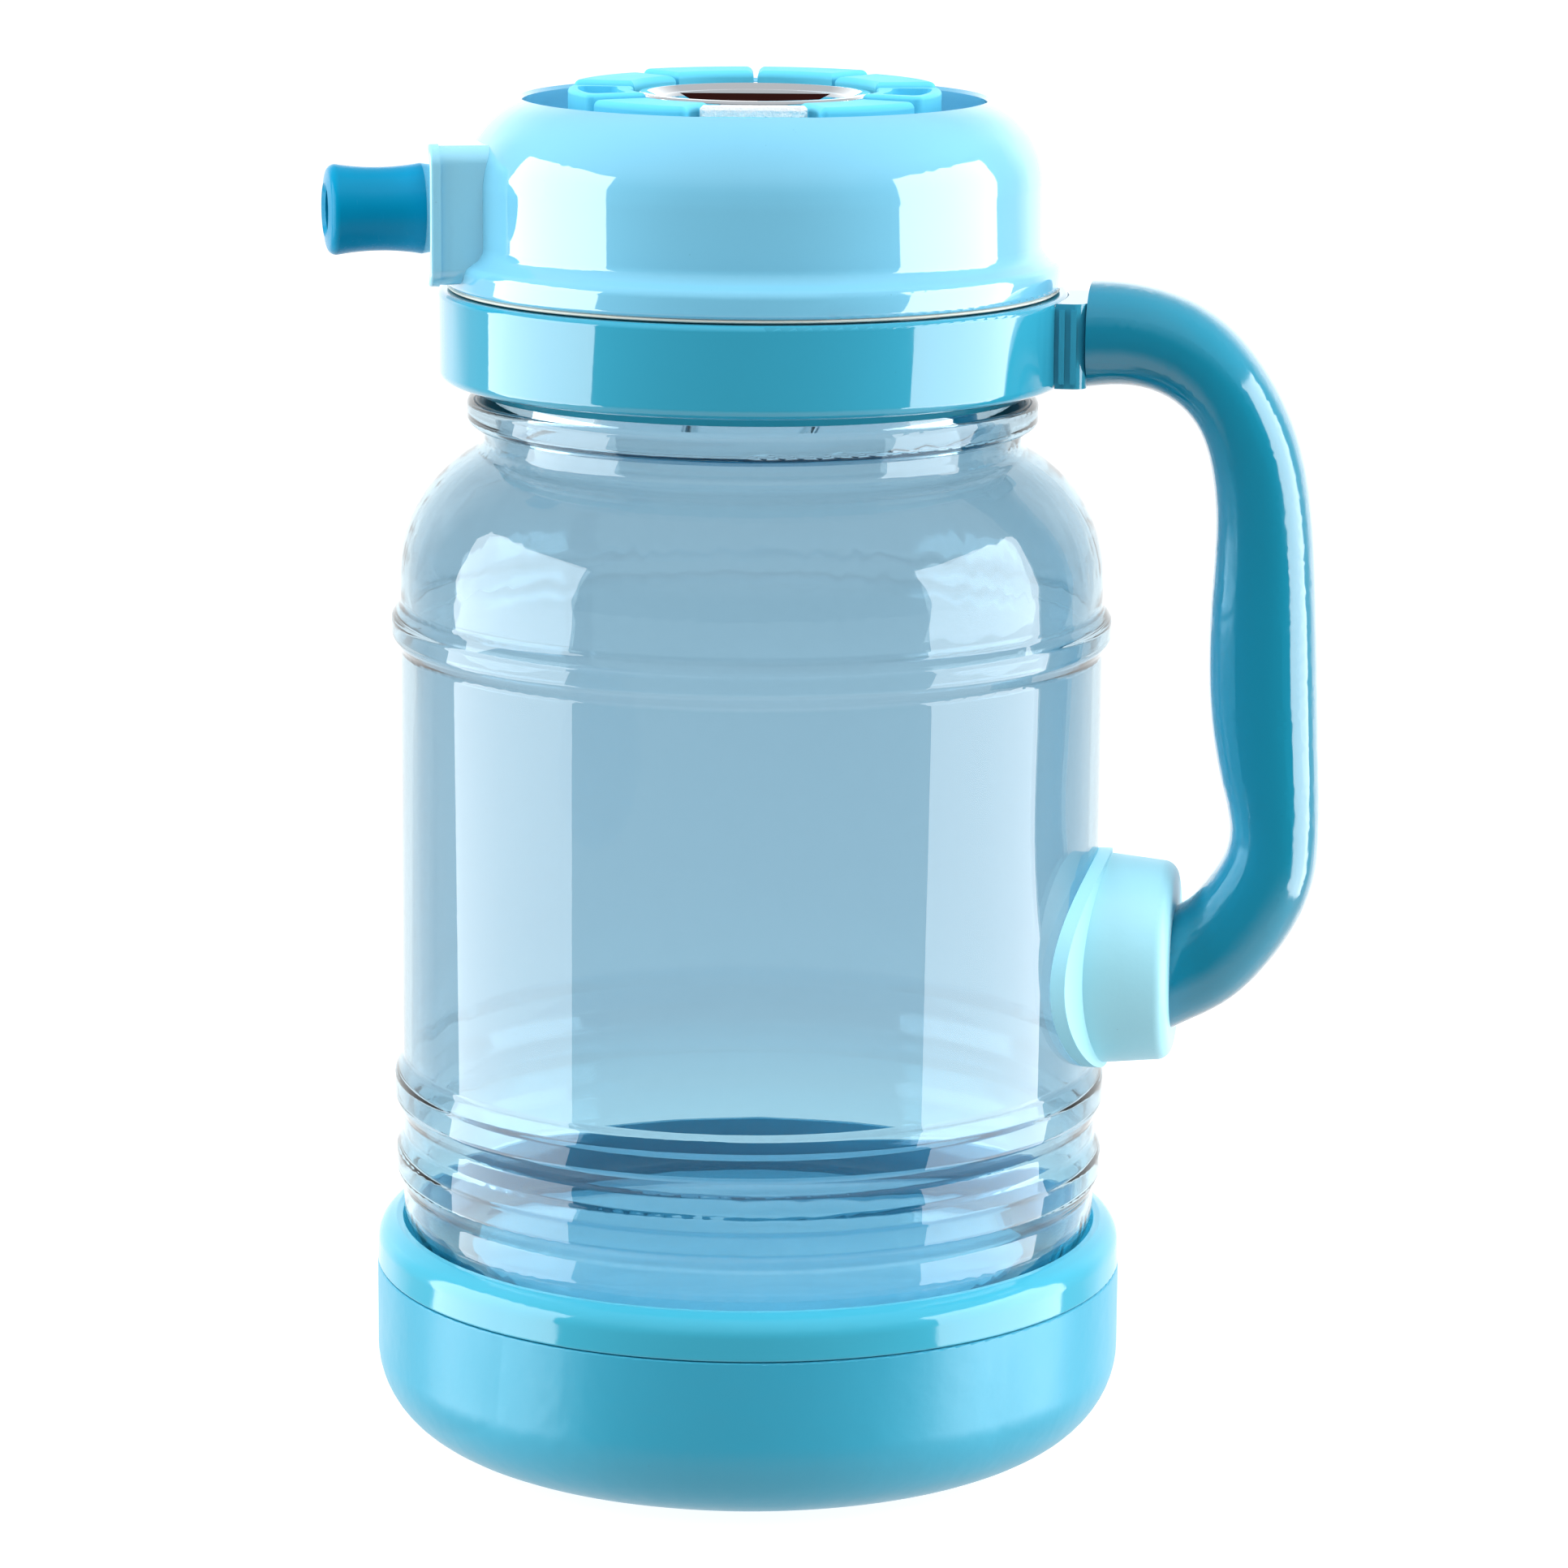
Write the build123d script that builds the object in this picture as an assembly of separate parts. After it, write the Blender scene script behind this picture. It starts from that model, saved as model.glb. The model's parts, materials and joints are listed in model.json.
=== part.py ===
from build123d import *
import math
import os

# Large water jug, in millimetres. +Z is up, the origin is the centre of the underside of the foot pad.
# The spout points along -X and the handle stands along +X, each turned a little towards the front, -Y.

# Clear bottle
body_radius = 79.8
wall = 2.2
bottle_floor_z = 41.0
floor_thickness = 2.4
heel_radius = 14.0
shoulder_radius = 31.6
shoulder_line_z = 230.3
shoulder_slope = 0.51
neck_radius = 60.7
neck_wall = 2.4
neck_rim_z = 262.0
shoulder_fillet = 3.0
# Each bead is (height, half height, how far it stands out of the wall).
beads = [(65.6, 6.0, 1.6), (83.1, 6.5, 1.9), (189.9, 5.0, 2.0)]
transfer_bead_z = 238.7
transfer_bead_radius = 64.5
transfer_bead_half_height = 4.3

# Thread between the neck and the lid's liner
thread_pitch = 6.0
thread_start_z = 250.0
thread_turns = 1.25
thread_crest_radius = 62.2
liner_thread_turns = 0.7
liner_thread_lag = 2.5
liner_crest_radius = 61.1

# Base
base_radius = 86.0
base_round = 20.0
base_wall = 3.0
base_underside_z = 1.2
seam_z = 41.0
foot_pad_radius = 62.0
trim_top_z = 51.0
trim_shoulder_height = 8.0
trim_shoulder_round = 5.0
wall_clearance = 0.2

# Collar round the neck, and the bracket that carries the handle
collar_radius = 70.9
collar_inner_radius = 65.6
collar_bottom_z = 245.5
collar_top_z = 266.0
collar_lip_z = 243.4
collar_lip_radius = 61.2
bracket_face_x = 76.5
bracket_half_width = 13.0
bracket_bottom_z = collar_bottom_z + 1.2
bracket_top_z = collar_top_z - 0.4
bracket_z = (bracket_bottom_z + bracket_top_z) / 2

# Lid
flange_radius = 69.3
flange_bottom_z = 267.0
dome_radius = 65.2
dome_round = 20.0
dome_top_z = 310.0
dome_wall = 2.3
recess_radius = 52.0
recess_floor_z = 301.0
recess_wall = 1.7
liner_inner_radius = 62.5
liner_outer_radius = 64.8
liner_bottom_z = 248.0
deck_bottom_z = 264.6
port_radius = 12.0

# Spout
spout_turn_deg = 12.0
spout_z = 284.9
housing_face_x = -75.4
housing_half_width = 14.0
housing_bottom_z = 269.0
housing_top_z = 299.7
bezel_thickness = 2.4
tube_radius = 6.0
tube_bore_radius = 4.4
nozzle_tip_x = -96.7
nozzle_radius = 10.0
nozzle_bore_radius = 5.0

# Valve and its button
stem_radius = 3.0
running_clearance = 0.05
chamber_radius = 20.0
chamber_top_z = 291.0
well_radius = 9.0
well_floor_z = 293.0
dish_radius = 26.3
dish_rim_z = 309.8
window_seat_depth = 2.6
dish_underside_z = 305.2
spring_wire_radius = 0.6
spring_radius = 6.6
spring_turns = 4.0

# Lock ring round the button
ring_inner_radius = 27.3
petal_radius = 41.7
petal_top_z = 312.3
petal_front_drop = 3.0
petal_pitch_deg = 40.0
petal_half_angle_deg = 19.1
petal_corner_round = 1.6
bar_top_z = 309.5
bar_front_y = -37.0
bar_back_y = -31.2
bar_half_width = 11.7
curb_half_width = 14.0
curb_top_z = 307.4
rail_inner_radius = 31.1
rail_outer_radius = 33.9

# Handle: pairs of points (x, z) on its inner and outer edge, from the collar down to the foot.
handle_turn_deg = 9.0
handle_half_width = 14.0
handle_wall = 2.4
handle_squareness = 0.85
handle_sections = [
    ((76.5, 245.9), (76.5, 269.4)),
    ((86.2, 246.4), (87.7, 268.6)),
    ((94.2, 243.9), (99.6, 264.8)),
    ((99.3, 239.5), (109.0, 258.1)),
    ((102.6, 233.2), (116.9, 248.0)),
    ((104.4, 225.0), (123.1, 234.8)),
    ((105.1, 214.2), (126.6, 217.2)),
    ((104.5, 199.8), (127.8, 201.0)),
    ((104.2, 184.0), (128.6, 184.7)),
    ((105.4, 168.8), (129.2, 169.0)),
    ((107.9, 156.5), (129.8, 156.2)),
    ((109.8, 146.7), (130.0, 144.9)),
    ((108.6, 140.4), (129.3, 136.1)),
    ((105.3, 134.9), (126.1, 126.4)),
    ((102.4, 131.1), (119.4, 115.7)),
    ((99.8, 128.4), (110.4, 106.6)),
    ((98.0, 126.8), (98.0, 99.7)),
]
handle_screw_sections = [3, 8, 13]
tenon_radius = 7.5
screw_seat_y = 10.2

# Handle foot on the bottle's wall
foot_z = 114.9
foot_face_x = 98.0
foot_radius = 24.0
foot_face_radius = 22.4
foot_round = 3.4
saddle_half_width = 32.5
saddle_half_height = 24.6
saddle_thickness = 3.0


def rounded_edges(corners):
    """Edges of a closed outline through corners (r, z) or (r, z, rounding) in the XZ plane."""
    edges = []
    starts = []
    ends = []
    for index, corner in enumerate(corners):
        here = Vector(corner[0], 0, corner[1])
        rounding = corner[2] if len(corner) > 2 else 0
        if not rounding:
            starts.append(here)
            ends.append(here)
            continue
        before = corners[index - 1]
        after = corners[(index + 1) % len(corners)]
        back = (Vector(before[0], 0, before[1]) - here).normalized()
        forth = (Vector(after[0], 0, after[1]) - here).normalized()
        half_angle = math.radians(back.get_angle(forth)) / 2
        reach = rounding / math.tan(half_angle)
        centre = here + (back + forth).normalized() * (rounding / math.sin(half_angle))
        first = here + back * reach
        last = here + forth * reach
        middle = centre + (here - centre).normalized() * rounding
        edges.append(Edge.make_three_point_arc(first, middle, last))
        starts.append(first)
        ends.append(last)
    for index in range(len(corners)):
        end = ends[index - 1]
        start = starts[index]
        if (end - start).length > 1e-6:
            edges.append(Edge.make_line(end, start))
    return edges


def turned(corners, axis=Axis.Z):
    """A solid of revolution of a rounded outline, about the jug's own axis unless another is named."""
    outline = Wire.combine(rounded_edges(corners))[0]
    return revolve(Face(outline), axis)


def disc(radius, bottom, top, centre=(0, 0)):
    """An upright cylinder between two heights."""
    return Pos(centre[0], centre[1], (bottom + top) / 2) * Cylinder(radius, top - bottom)


def tube(outer, inner, bottom, top):
    """An upright ring between two heights."""
    return disc(outer, bottom, top) - disc(inner, bottom - 1, top + 1)


def rod_x(radius, x_from, x_to, z):
    """A round rod along X."""
    return Pos((x_from + x_to) / 2, 0, z) * Rot(0, 90, 0) * Cylinder(radius, abs(x_to - x_from))


def rod_y(radius, y_from, y_to, x, z):
    """A round rod along Y."""
    return Pos(x, (y_from + y_to) / 2, z) * Rot(90, 0, 0) * Cylinder(radius, abs(y_to - y_from))


def block(x_range, y_range, z_range):
    """A box between three pairs of limits."""
    centre = [sum(limits) / 2 for limits in (x_range, y_range, z_range)]
    size = [limits[1] - limits[0] for limits in (x_range, y_range, z_range)]
    return Pos(*centre) * Box(*size)


def ridge(root_radius, crest_radius, base_z, start_deg, turns):
    """One trapezoidal thread ridge that climbs a pitch each turn, its root buried in the wall."""
    bury = 0.4 if crest_radius > root_radius else -0.4
    path = Helix(thread_pitch, thread_pitch * turns, root_radius)
    depth = crest_radius - root_radius
    start = Plane(origin=path @ 0, x_dir=(1, 0, 0), z_dir=path % 0)
    outline = Polyline((-bury, -1.2), (-bury, 1.2), (depth, 0.6), (depth, -0.6), close=True)
    profile = start * make_face(outline)
    return Pos(0, 0, base_z) * Rot(0, 0, start_deg) * sweep(profile, path=path, is_frenet=True)


def wall_corners(radius):
    """The wall's beads as rounded corners, going up, on a surface of the given radius."""
    corners = []
    for height, half, stand_out in beads:
        crest = radius + stand_out
        flat = 0.4 * half
        corners.append((radius, height - half, 3.5))
        corners.append((crest, height - flat, 2.0))
        corners.append((crest, height + flat, 2.0))
        corners.append((radius, height + half, 3.5))
    return corners


def shoulder_height(radius, inset):
    """Height of the sloping line that the shoulder's round ends on, on the outer or the inset surface."""
    return shoulder_line_z - shoulder_slope * (radius - neck_radius) - inset * math.hypot(1, shoulder_slope)


def bottle_side(inset, neck, floor, rim):
    """The bottle's profile from the centre of the floor up to the rim and back to the axis."""
    radius = body_radius - inset
    return [
        (0, floor),
        (radius, floor, heel_radius - inset),
        *wall_corners(radius),
        (radius, shoulder_height(radius, inset), shoulder_radius - inset),
        (neck, shoulder_height(neck, inset), shoulder_fillet + inset),
        (neck, rim),
        (0, rim),
    ]


def jug_body():
    """Clear bottle: floor, heel, wall with hollow beads, round shoulder, transfer bead, threaded neck."""
    outside = turned(bottle_side(0, neck_radius, bottle_floor_z, neck_rim_z))
    inner_floor_z = bottle_floor_z + floor_thickness
    inside = turned(bottle_side(wall, neck_radius - neck_wall, inner_floor_z, neck_rim_z + 1))
    low = transfer_bead_z - transfer_bead_half_height
    high = transfer_bead_z + transfer_bead_half_height
    bead = turned([
        (neck_radius - 1, low),
        (neck_radius, low),
        (transfer_bead_radius, low + 1.6, 2.2),
        (transfer_bead_radius, high - 1.6, 2.2),
        (neck_radius, high),
        (neck_radius - 1, high),
    ])
    thread = ridge(neck_radius, thread_crest_radius, thread_start_z, 0, thread_turns)
    return outside - inside + bead + thread


def base_cup():
    """Moulded cup that the bottle stands in, with a deep rounded lower edge."""
    outside = turned([
        (0, base_underside_z),
        (base_radius, base_underside_z, base_round),
        (base_radius, seam_z - 0.2, 0.5),
        (0, seam_z - 0.2),
    ])
    inside = turned([
        (0, base_underside_z + base_wall),
        (base_radius - base_wall, base_underside_z + base_wall, base_round - base_wall),
        (base_radius - base_wall, seam_z + 1),
        (0, seam_z + 1),
    ])
    return outside - inside


def base_trim_ring():
    """Glossy ring on the base cup: a spigot in the cup, and a rounded shoulder up to the bottle's wall."""
    inner = body_radius + wall_clearance
    spigot = base_radius - base_wall - wall_clearance
    return turned([
        (inner, seam_z - 11),
        (spigot, seam_z - 11, 0.6),
        (spigot, seam_z),
        (base_radius, seam_z, 0.5),
        (base_radius - 0.3, seam_z + trim_shoulder_height, trim_shoulder_round),
        (inner + 1.6, trim_top_z, 1.2),
        (inner, trim_top_z, 0.3),
    ])


def base_support_plate():
    """Plate under the bottle's floor, on a ring that stands on the floor of the cup."""
    plate_top = bottle_floor_z - wall_clearance
    plate = disc(64.0, plate_top - 3, plate_top)
    return plate + tube(58.0, 55.0, base_underside_z + base_wall, plate_top - 2)


def foot_pad():
    """Flat rubber pad under the base."""
    return turned([
        (0, 0),
        (foot_pad_radius, 0, 0.4),
        (foot_pad_radius, base_underside_z),
        (0, base_underside_z),
    ])


def neck_collar():
    """Band round the neck, with a lip inside that grips the neck above the transfer bead."""
    return turned([
        (collar_lip_radius, collar_lip_z),
        (transfer_bead_radius - 1.3, collar_lip_z, 0.5),
        (collar_inner_radius + 1, collar_bottom_z + 0.3),
        (collar_radius, collar_bottom_z, 2.4),
        (collar_radius, collar_top_z, 1.4),
        (collar_inner_radius, collar_top_z, 0.6),
        (collar_inner_radius, collar_bottom_z + 1.6),
        (collar_lip_radius, collar_bottom_z + 1.6),
    ])


def collar_bracket():
    """Block on the collar that carries the handle: a plain panel with two upright ribs on each flank."""
    low = bracket_bottom_z
    high = bracket_top_z
    panel = block((60, bracket_face_x), (-bracket_half_width, bracket_half_width), (low, high))
    panel = fillet(panel.edges().filter_by(Axis.Z).group_by(Axis.X)[-1], 3.0)
    for side in (-1, 1):
        for rib_x in (70.6, 73.2):
            rib = block((rib_x, rib_x + 1.3), (-0.8, 0.8), (low + 1.2, high - 1.2))
            panel += Pos(0, side * (bracket_half_width + 0.2), 0) * rib
    panel -= disc(collar_radius, low - 1, high + 1)
    return panel - rod_x(tenon_radius + wall_clearance, 60, bracket_face_x + 1, bracket_z)


def handle_middle(index):
    """Centre (x, z) of one of the handle's sections."""
    inner, outer = handle_sections[index]
    return (inner[0] + outer[0]) / 2, (inner[1] + outer[1]) / 2


def half_oval(middle, across, half_across, half_depth, side):
    """Half of a squarish oval from its outer end round to its inner end, on one side of the XZ plane."""
    points = []
    for step in range(9):
        angle = math.pi * step / 8
        along = math.copysign(abs(math.cos(angle)) ** handle_squareness, math.cos(angle))
        sideways = side * half_depth * abs(math.sin(angle)) ** handle_squareness
        points.append(middle + across * (half_across * along) + Vector(0, sideways, 0))
    ends = [Vector(0, side, 0), Vector(0, -side, 0)]
    return Edge.make_spline(points, tangents=ends, scale=False)


def half_section(index, side):
    """C-shaped section of one half of the handle."""
    inner, outer = handle_sections[index]
    across = Vector(outer[0] - inner[0], 0, outer[1] - inner[1])
    x, z = handle_middle(index)
    middle = Vector(x, 0, z)
    direction = across.normalized()
    half = across.length / 2
    skin = half_oval(middle, direction, half, handle_half_width, side)
    lining = half_oval(middle, direction, half - handle_wall, handle_half_width - handle_wall, side)
    return Wire([skin, Edge.make_line(skin @ 1, lining @ 1), lining, Edge.make_line(lining @ 0, skin @ 0)])


def handle_end(index, side, face_x, tenon_length):
    """Closed end of one half of the handle, with half a round tenon that sticks out of it."""
    inner, outer = handle_sections[index]
    middle_z = (inner[1] + outer[1]) / 2
    half_height = abs(outer[1] - inner[1]) / 2
    inset = 0.7 * handle_wall
    start = Plane(origin=(face_x, 0, middle_z), x_dir=(0, 1, 0), z_dir=(1, 0, 0))
    end = extrude(start * Ellipse(handle_half_width - inset, half_height - inset), 2.4)
    tenon_z = bracket_z if index == 0 else foot_z
    end += rod_x(tenon_radius, face_x - tenon_length, face_x + 1, tenon_z)
    return end & block((0, 200), sorted((0, side * 40)), (0, 320))


def handle_half(side):
    """One half of the handle, hollow, with screw bosses and closed ends. Side -1 is the front."""
    shell = Part(children=[Solid.make_loft([half_section(i, side) for i in range(len(handle_sections))])])
    for index in handle_screw_sections:
        shell += rod_y(3.8, 0, side * (handle_half_width - 1.6), *handle_middle(index))
    shell += handle_end(0, side, bracket_face_x, 4.5)
    shell += handle_end(-1, side, foot_face_x, 10)
    for index in handle_screw_sections:
        if side < 0:
            shell -= rod_y(1.7, -7.5, 1, *handle_middle(index))
        else:
            shell -= rod_y(1.7, -1, screw_seat_y + 0.1, *handle_middle(index))
            shell -= rod_y(3.1, screw_seat_y, 16, *handle_middle(index))
    return shell


def handle_screws():
    """Cross-head screws that hold the two halves together, from the rear."""
    screws = []
    for index in handle_screw_sections:
        x, z = handle_middle(index)
        shank = rod_y(1.5, -7, screw_seat_y + 0.2, x, z)
        head = rod_y(2.9, screw_seat_y + 0.1, screw_seat_y + 2.1, x, z)
        screw = shank + head
        for half_x, half_z in ((2.0, 0.35), (0.35, 2.0)):
            screw -= block((x - half_x, x + half_x), (screw_seat_y + 1.2, 14), (z - half_z, z + half_z))
        screws.append(screw)
    return Compound(children=screws)


def handle_foot():
    """Round boss with a rounded face that joins the handle's lower end to the bottle's wall."""
    boss = turned(
        [
            (0, 60),
            (foot_radius, 60),
            (foot_radius, 82),
            (foot_face_radius, foot_face_x, foot_round),
            (0, foot_face_x),
        ]
    )
    boss = Pos(0, 0, foot_z) * Rot(0, 90, 0) * boss
    boss -= disc(body_radius + wall_clearance + saddle_thickness, foot_z - 40, foot_z + 40)
    return boss - rod_x(tenon_radius + wall_clearance, foot_face_x - 10.2, foot_face_x + 1, foot_z)


def handle_saddle():
    """Curved oval pad between the boss and the wall."""
    outline = Plane.YZ * Ellipse(saddle_half_width, saddle_half_height)
    pad = Pos(50, 0, foot_z) * extrude(outline, 40)
    inner = body_radius + wall_clearance
    return pad & tube(inner + saddle_thickness, inner, foot_z - 40, foot_z + 40)


def dome_outside():
    """The lid's outer shape without its recess."""
    return turned([
        (0, flange_bottom_z),
        (flange_radius, flange_bottom_z, 1.3),
        (flange_radius, flange_bottom_z + 5.6, 2.6),
        (dome_radius, flange_bottom_z + 8.2, 4.0),
        (dome_radius, dome_top_z, dome_round),
        (0, dome_top_z),
    ])


def lid_dome():
    """Domed shell with a flange below, a round recess on top and a hole for the spout tube."""
    inner = dome_radius - dome_wall
    under_top = dome_top_z - dome_wall
    hollow = turned([
        (0, flange_bottom_z - 1),
        (inner, flange_bottom_z - 1),
        (inner, under_top, dome_round - dome_wall),
        (0, under_top),
    ])
    hollow -= disc(recess_radius + recess_wall, recess_floor_z - 2.5, dome_top_z + 1)
    shell = dome_outside() - hollow
    shell -= turned([
        (0, recess_floor_z - 3),
        (recess_radius, recess_floor_z - 3),
        (recess_radius, dome_top_z - 2.2),
        (recess_radius + 2.2, dome_top_z + 1),
        (0, dome_top_z + 1),
    ])
    return shell - rod_x(tube_radius + wall_clearance, -90, -50, spout_z)


def lid_liner():
    """Threaded skirt and deck under the dome, with the valve port in the middle."""
    skirt = tube(liner_outer_radius, liner_inner_radius, liner_bottom_z, flange_bottom_z - 0.1)
    deck = tube(liner_inner_radius + 0.5, port_radius, deck_bottom_z, flange_bottom_z - 0.1)
    start_deg = 360 * (thread_turns - liner_thread_turns)
    base_z = thread_start_z + thread_pitch * (thread_turns - liner_thread_turns) - liner_thread_lag
    thread = ridge(liner_inner_radius, liner_crest_radius, base_z, start_deg, liner_thread_turns)
    return skirt + deck + thread


def lid_gasket():
    """Soft ring between the neck's rim and the deck."""
    return tube(62.1, neck_radius - neck_wall + 0.3, neck_rim_z + 0.3, deck_bottom_z - 0.1)


def lid_recess_seat():
    """Floor of the recess: a rail for the lock ring and a well for the spring, bored for the stem."""
    well_bottom = well_floor_z - 2
    seat = disc(recess_radius - 0.1, recess_floor_z - 2.5, recess_floor_z)
    seat += tube(rail_outer_radius, rail_inner_radius, recess_floor_z - 1, recess_floor_z + 1.9)
    seat += disc(well_radius + 2, well_bottom, recess_floor_z - 1)
    seat -= disc(well_radius, well_floor_z, recess_floor_z + 1)
    return seat - disc(stem_radius + running_clearance, well_bottom - 1, recess_floor_z)


def valve_chamber():
    """Closed cup over the valve port; the stem passes its top and the spout tube its side."""
    outside = disc(chamber_radius, flange_bottom_z, chamber_top_z)
    inside = disc(chamber_radius - 2.5, flange_bottom_z - 1, chamber_top_z - 2)
    cup = outside - inside
    cup -= disc(stem_radius + running_clearance, chamber_top_z - 4, chamber_top_z + 1)
    return cup - rod_x(tube_radius - 0.4, -chamber_radius - 5, -5, spout_z)


def spout_housing():
    """Rounded rectangular boss on the side of the dome."""
    length = 40
    face = RectangleRounded(2 * housing_half_width, housing_top_z - housing_bottom_z, 4.0)
    middle_z = (housing_top_z + housing_bottom_z) / 2
    start = Plane(origin=(housing_face_x + bezel_thickness, 0, middle_z), x_dir=(0, 1, 0), z_dir=(1, 0, 0))
    boss = extrude(start * face, length) - dome_outside()
    boss = boss.solids().sort_by(Axis.X)[0]
    return boss - rod_x(tube_radius + wall_clearance, -90, -50, spout_z)


def spout_bezel():
    """Thin face plate on the end of the spout housing."""
    face = RectangleRounded(2 * housing_half_width + 1.6, housing_top_z - housing_bottom_z + 0.8, 4.6)
    middle_z = (housing_top_z + housing_bottom_z) / 2
    start = Plane(origin=(housing_face_x, 0, middle_z), x_dir=(0, 1, 0), z_dir=(1, 0, 0))
    plate = extrude(start * face, bezel_thickness)
    plate = fillet(plate.faces().sort_by(Axis.X)[0].outer_wire().edges(), 0.8)
    return plate - rod_x(tube_radius + wall_clearance, -90, -50, spout_z)


def spout_tube():
    """Tube from the valve chamber, through the dome's wall, to the nozzle."""
    pipe = rod_x(tube_radius, -chamber_radius, housing_face_x, spout_z)
    pipe -= rod_x(tube_bore_radius, -5, -90, spout_z)
    return pipe - disc(chamber_radius, spout_z - 20, spout_z + 20)


def spout_nozzle():
    """Waisted nozzle with a rounded rim, bored through."""
    length = abs(nozzle_tip_x - housing_face_x)
    waist = nozzle_radius - 0.8
    rim = 2.4
    profile = Wire([
        Edge.make_line((nozzle_bore_radius, 0, 0), (nozzle_radius, 0, 0)),
        Edge.make_spline([
            (nozzle_radius, 0, 0),
            (waist, 0, 0.45 * length),
            (nozzle_radius, 0, length - rim),
        ]),
        Edge.make_three_point_arc(
            (nozzle_radius, 0, length - rim),
            (nozzle_radius - 0.4, 0, length - 0.5 * rim),
            (nozzle_radius - 1.5, 0, length - 0.5),
        ),
        Edge.make_line((nozzle_radius - 1.5, 0, length - 0.5), (nozzle_bore_radius + 1.0, 0, length)),
        Edge.make_line((nozzle_bore_radius + 1.0, 0, length), (nozzle_bore_radius, 0, length - 0.8)),
        Edge.make_line((nozzle_bore_radius, 0, length - 0.8), (nozzle_bore_radius, 0, 0)),
    ])
    nozzle = revolve(Face(profile), Axis.Z)
    return Pos(housing_face_x, 0, spout_z) * Rot(0, -90, 0) * nozzle


def petal_face(inner, outer, half_angle_deg):
    """A sector of a ring, centred on +X."""
    half = math.radians(half_angle_deg)
    near = [Vector(inner * math.cos(a), inner * math.sin(a)) for a in (-half, 0, half)]
    far = [Vector(outer * math.cos(a), outer * math.sin(a)) for a in (-half, 0, half)]
    outline = Wire([
        Edge.make_three_point_arc(*near),
        Edge.make_line(near[2], far[2]),
        Edge.make_three_point_arc(far[2], far[1], far[0]),
        Edge.make_line(far[0], near[0]),
    ])
    return Face(outline)


def petal(with_pocket, top_z):
    """One grip petal of the lock ring, centred on +X."""
    base = recess_floor_z + 2.4
    sector = petal_face(ring_inner_radius + 0.2, petal_radius, petal_half_angle_deg)
    solid = Pos(0, 0, base) * extrude(sector, top_z - base, dir=(0, 0, 1))
    upright = solid.edges().filter_by(Axis.Z).group_by(SortBy.DISTANCE)[-1]
    solid = fillet(upright, petal_corner_round)
    if with_pocket:
        pocket = petal_face(ring_inner_radius + 3.4, petal_radius - 2.2, petal_half_angle_deg - 4.5)
        cutter = Pos(0, 0, top_z - 2.6) * extrude(pocket, 5, dir=(0, 0, 1))
        cutter = fillet(cutter.edges().filter_by(Axis.Z), 1.8)
        return fillet(solid.faces().sort_by(Axis.Z)[-1].edges(), 0.9) - cutter
    return fillet(solid.faces().sort_by(Axis.Z)[-1].edges(), 1.6)


def lock_ring():
    """Turning ring on the rail of the recess: eight petals that get lower to the front, and a gap there."""
    ring = tube(petal_radius - 2.5, ring_inner_radius, recess_floor_z + 0.4, recess_floor_z + 3.6)
    ring -= tube(rail_outer_radius + 0.1, rail_inner_radius - 0.1, recess_floor_z, recess_floor_z + 2.3)
    for step in range(1, 9):
        turn_deg = step * petal_pitch_deg
        drop = petal_front_drop * (1 + math.cos(math.radians(turn_deg))) / 2
        shape = petal(step in (2, 7), petal_top_z - drop)
        ring += Rot(0, 0, turn_deg - 90) * shape
    sides = (-curb_half_width, curb_half_width)
    curb = block(sides, (bar_front_y - 1.9, bar_front_y - 0.1), (recess_floor_z + 2.4, curb_top_z))
    return ring + curb


def front_bar():
    """Frosted metal bar in the gap of the lock ring."""
    sides = (-bar_half_width, bar_half_width)
    bar = block(sides, (bar_front_y, bar_back_y), (recess_floor_z + 3.6, bar_top_z))
    bar = chamfer(bar.faces().sort_by(Axis.Z)[-1].edges(), 0.7)
    return fillet(bar.edges().filter_by(Axis.Z), 0.8)


def window_outline(inset):
    """Plan of the window: wide at the back, narrow at the front."""
    back = 17.0 - inset
    front = 12.0 - inset
    front_y = -19.0 + inset
    back_y = 11.0 - inset
    corners = [(-front, front_y), (front, front_y), (back, back_y), (-back, back_y)]
    return make_face(Polyline(*corners, close=True))


def button_dish():
    """Chromed press button: a shallow dish with a sunken seat for the window and a socket for the stem."""
    dish = turned([
        (0, dish_underside_z),
        (dish_radius, dish_underside_z, 0.6),
        (dish_radius, dish_rim_z, 0.8),
        (dish_radius - 2.2, dish_rim_z, 0.8),
        (dish_radius - 4.6, dish_rim_z - 1.3, 1.2),
        (0, dish_rim_z - 1.3),
    ])
    dish -= Pos(0, 0, dish_rim_z - window_seat_depth) * extrude(window_outline(0), 5)
    return dish - disc(stem_radius + 0.01, dish_underside_z - 1, dish_underside_z + 1.6)


def button_window():
    """Dark tinted window in the dish."""
    pane = Pos(0, 0, dish_rim_z - window_seat_depth) * extrude(window_outline(0.15), 1.2)
    return chamfer(pane.faces().sort_by(Axis.Z)[-1].edges(), 0.3)


def valve_stem():
    """Rod from the button down to the valve plug, with a flange for the spring to push on."""
    rod = disc(stem_radius, 260.5, dish_underside_z + 1.5)
    return rod + disc(7.6, dish_underside_z - 1.2, dish_underside_z - 0.05)


def valve_plug():
    """Plug under the port, with a groove for its seal and a tapered underside."""
    plug = turned([
        (0, 256.8),
        (9, 256.8, 1),
        (15.5, 260.0, 1),
        (15.5, 262.2, 0.5),
        (0, 262.2),
    ])
    return plug - disc(stem_radius + 0.01, 260.4, 263)


def valve_seal():
    """Soft ring on top of the plug, which closes against the deck."""
    return turned([(12.6, 262.2), (15.3, 262.2), (15.3, 264.2, 0.9), (12.6, 264.2, 0.9)])


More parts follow.
